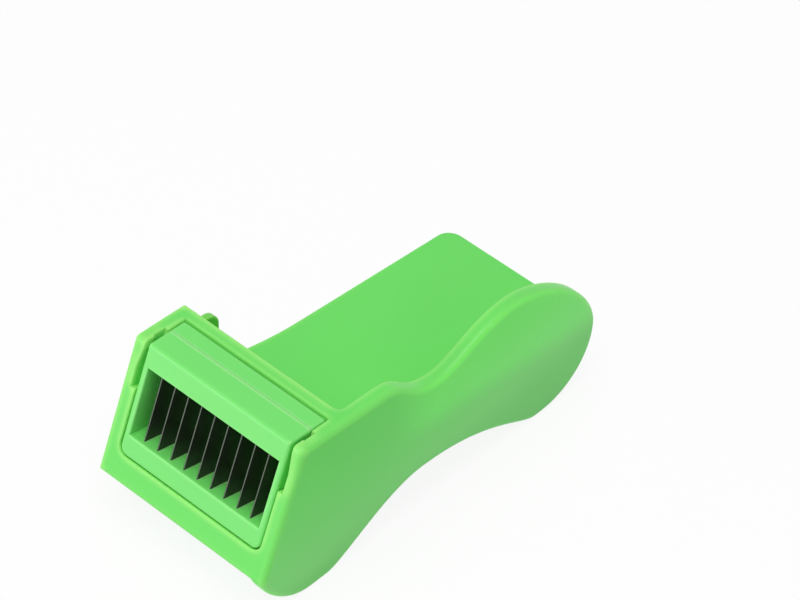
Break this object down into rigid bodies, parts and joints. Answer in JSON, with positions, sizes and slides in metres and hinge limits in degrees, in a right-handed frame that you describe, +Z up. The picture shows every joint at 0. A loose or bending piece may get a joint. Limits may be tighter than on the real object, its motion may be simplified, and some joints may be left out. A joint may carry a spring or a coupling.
{
  "type": "bean slicer",
  "caption": "Hand-held bean slicer with a green moulded grip, sloped feed plate and a lift-out cassette of upright parallel blades.",
  "frame": {"origin": "middle of the front foot's flat, on the surface the slicer stands on", "axes": "+Z up; beans travel along -Y, from the back of the feed plate to the slanted front face; +X points to the tall cheek"},
  "size_m": [0.0705, 0.1226, 0.0493],
  "materials": {
    "body_plastic": "satin moulded",
    "cassette_plastic": "satin moulded",
    "blade_steel": "ground"
  },
  "bodies": {
    "slicer_body": {"body": "body_plastic", "side_tab": "body_plastic"},
    "cassette": {"cassette_front": "cassette_plastic", "cassette_rear": "cassette_plastic", "blade_1": "blade_steel", "blade_2": "blade_steel", "blade_3": "blade_steel", "blade_4": "blade_steel", "blade_5": "blade_steel", "blade_6": "blade_steel", "blade_7": "blade_steel", "blade_8": "blade_steel", "blade_9": "blade_steel"}
  },
  "joints": [
    {"name": "cassette_lift", "type": "slide", "parent": "slicer_body", "child": "cassette", "axis": [0, 0.3647, 0.9311], "range_m": [0, 0.036]}
  ]
}
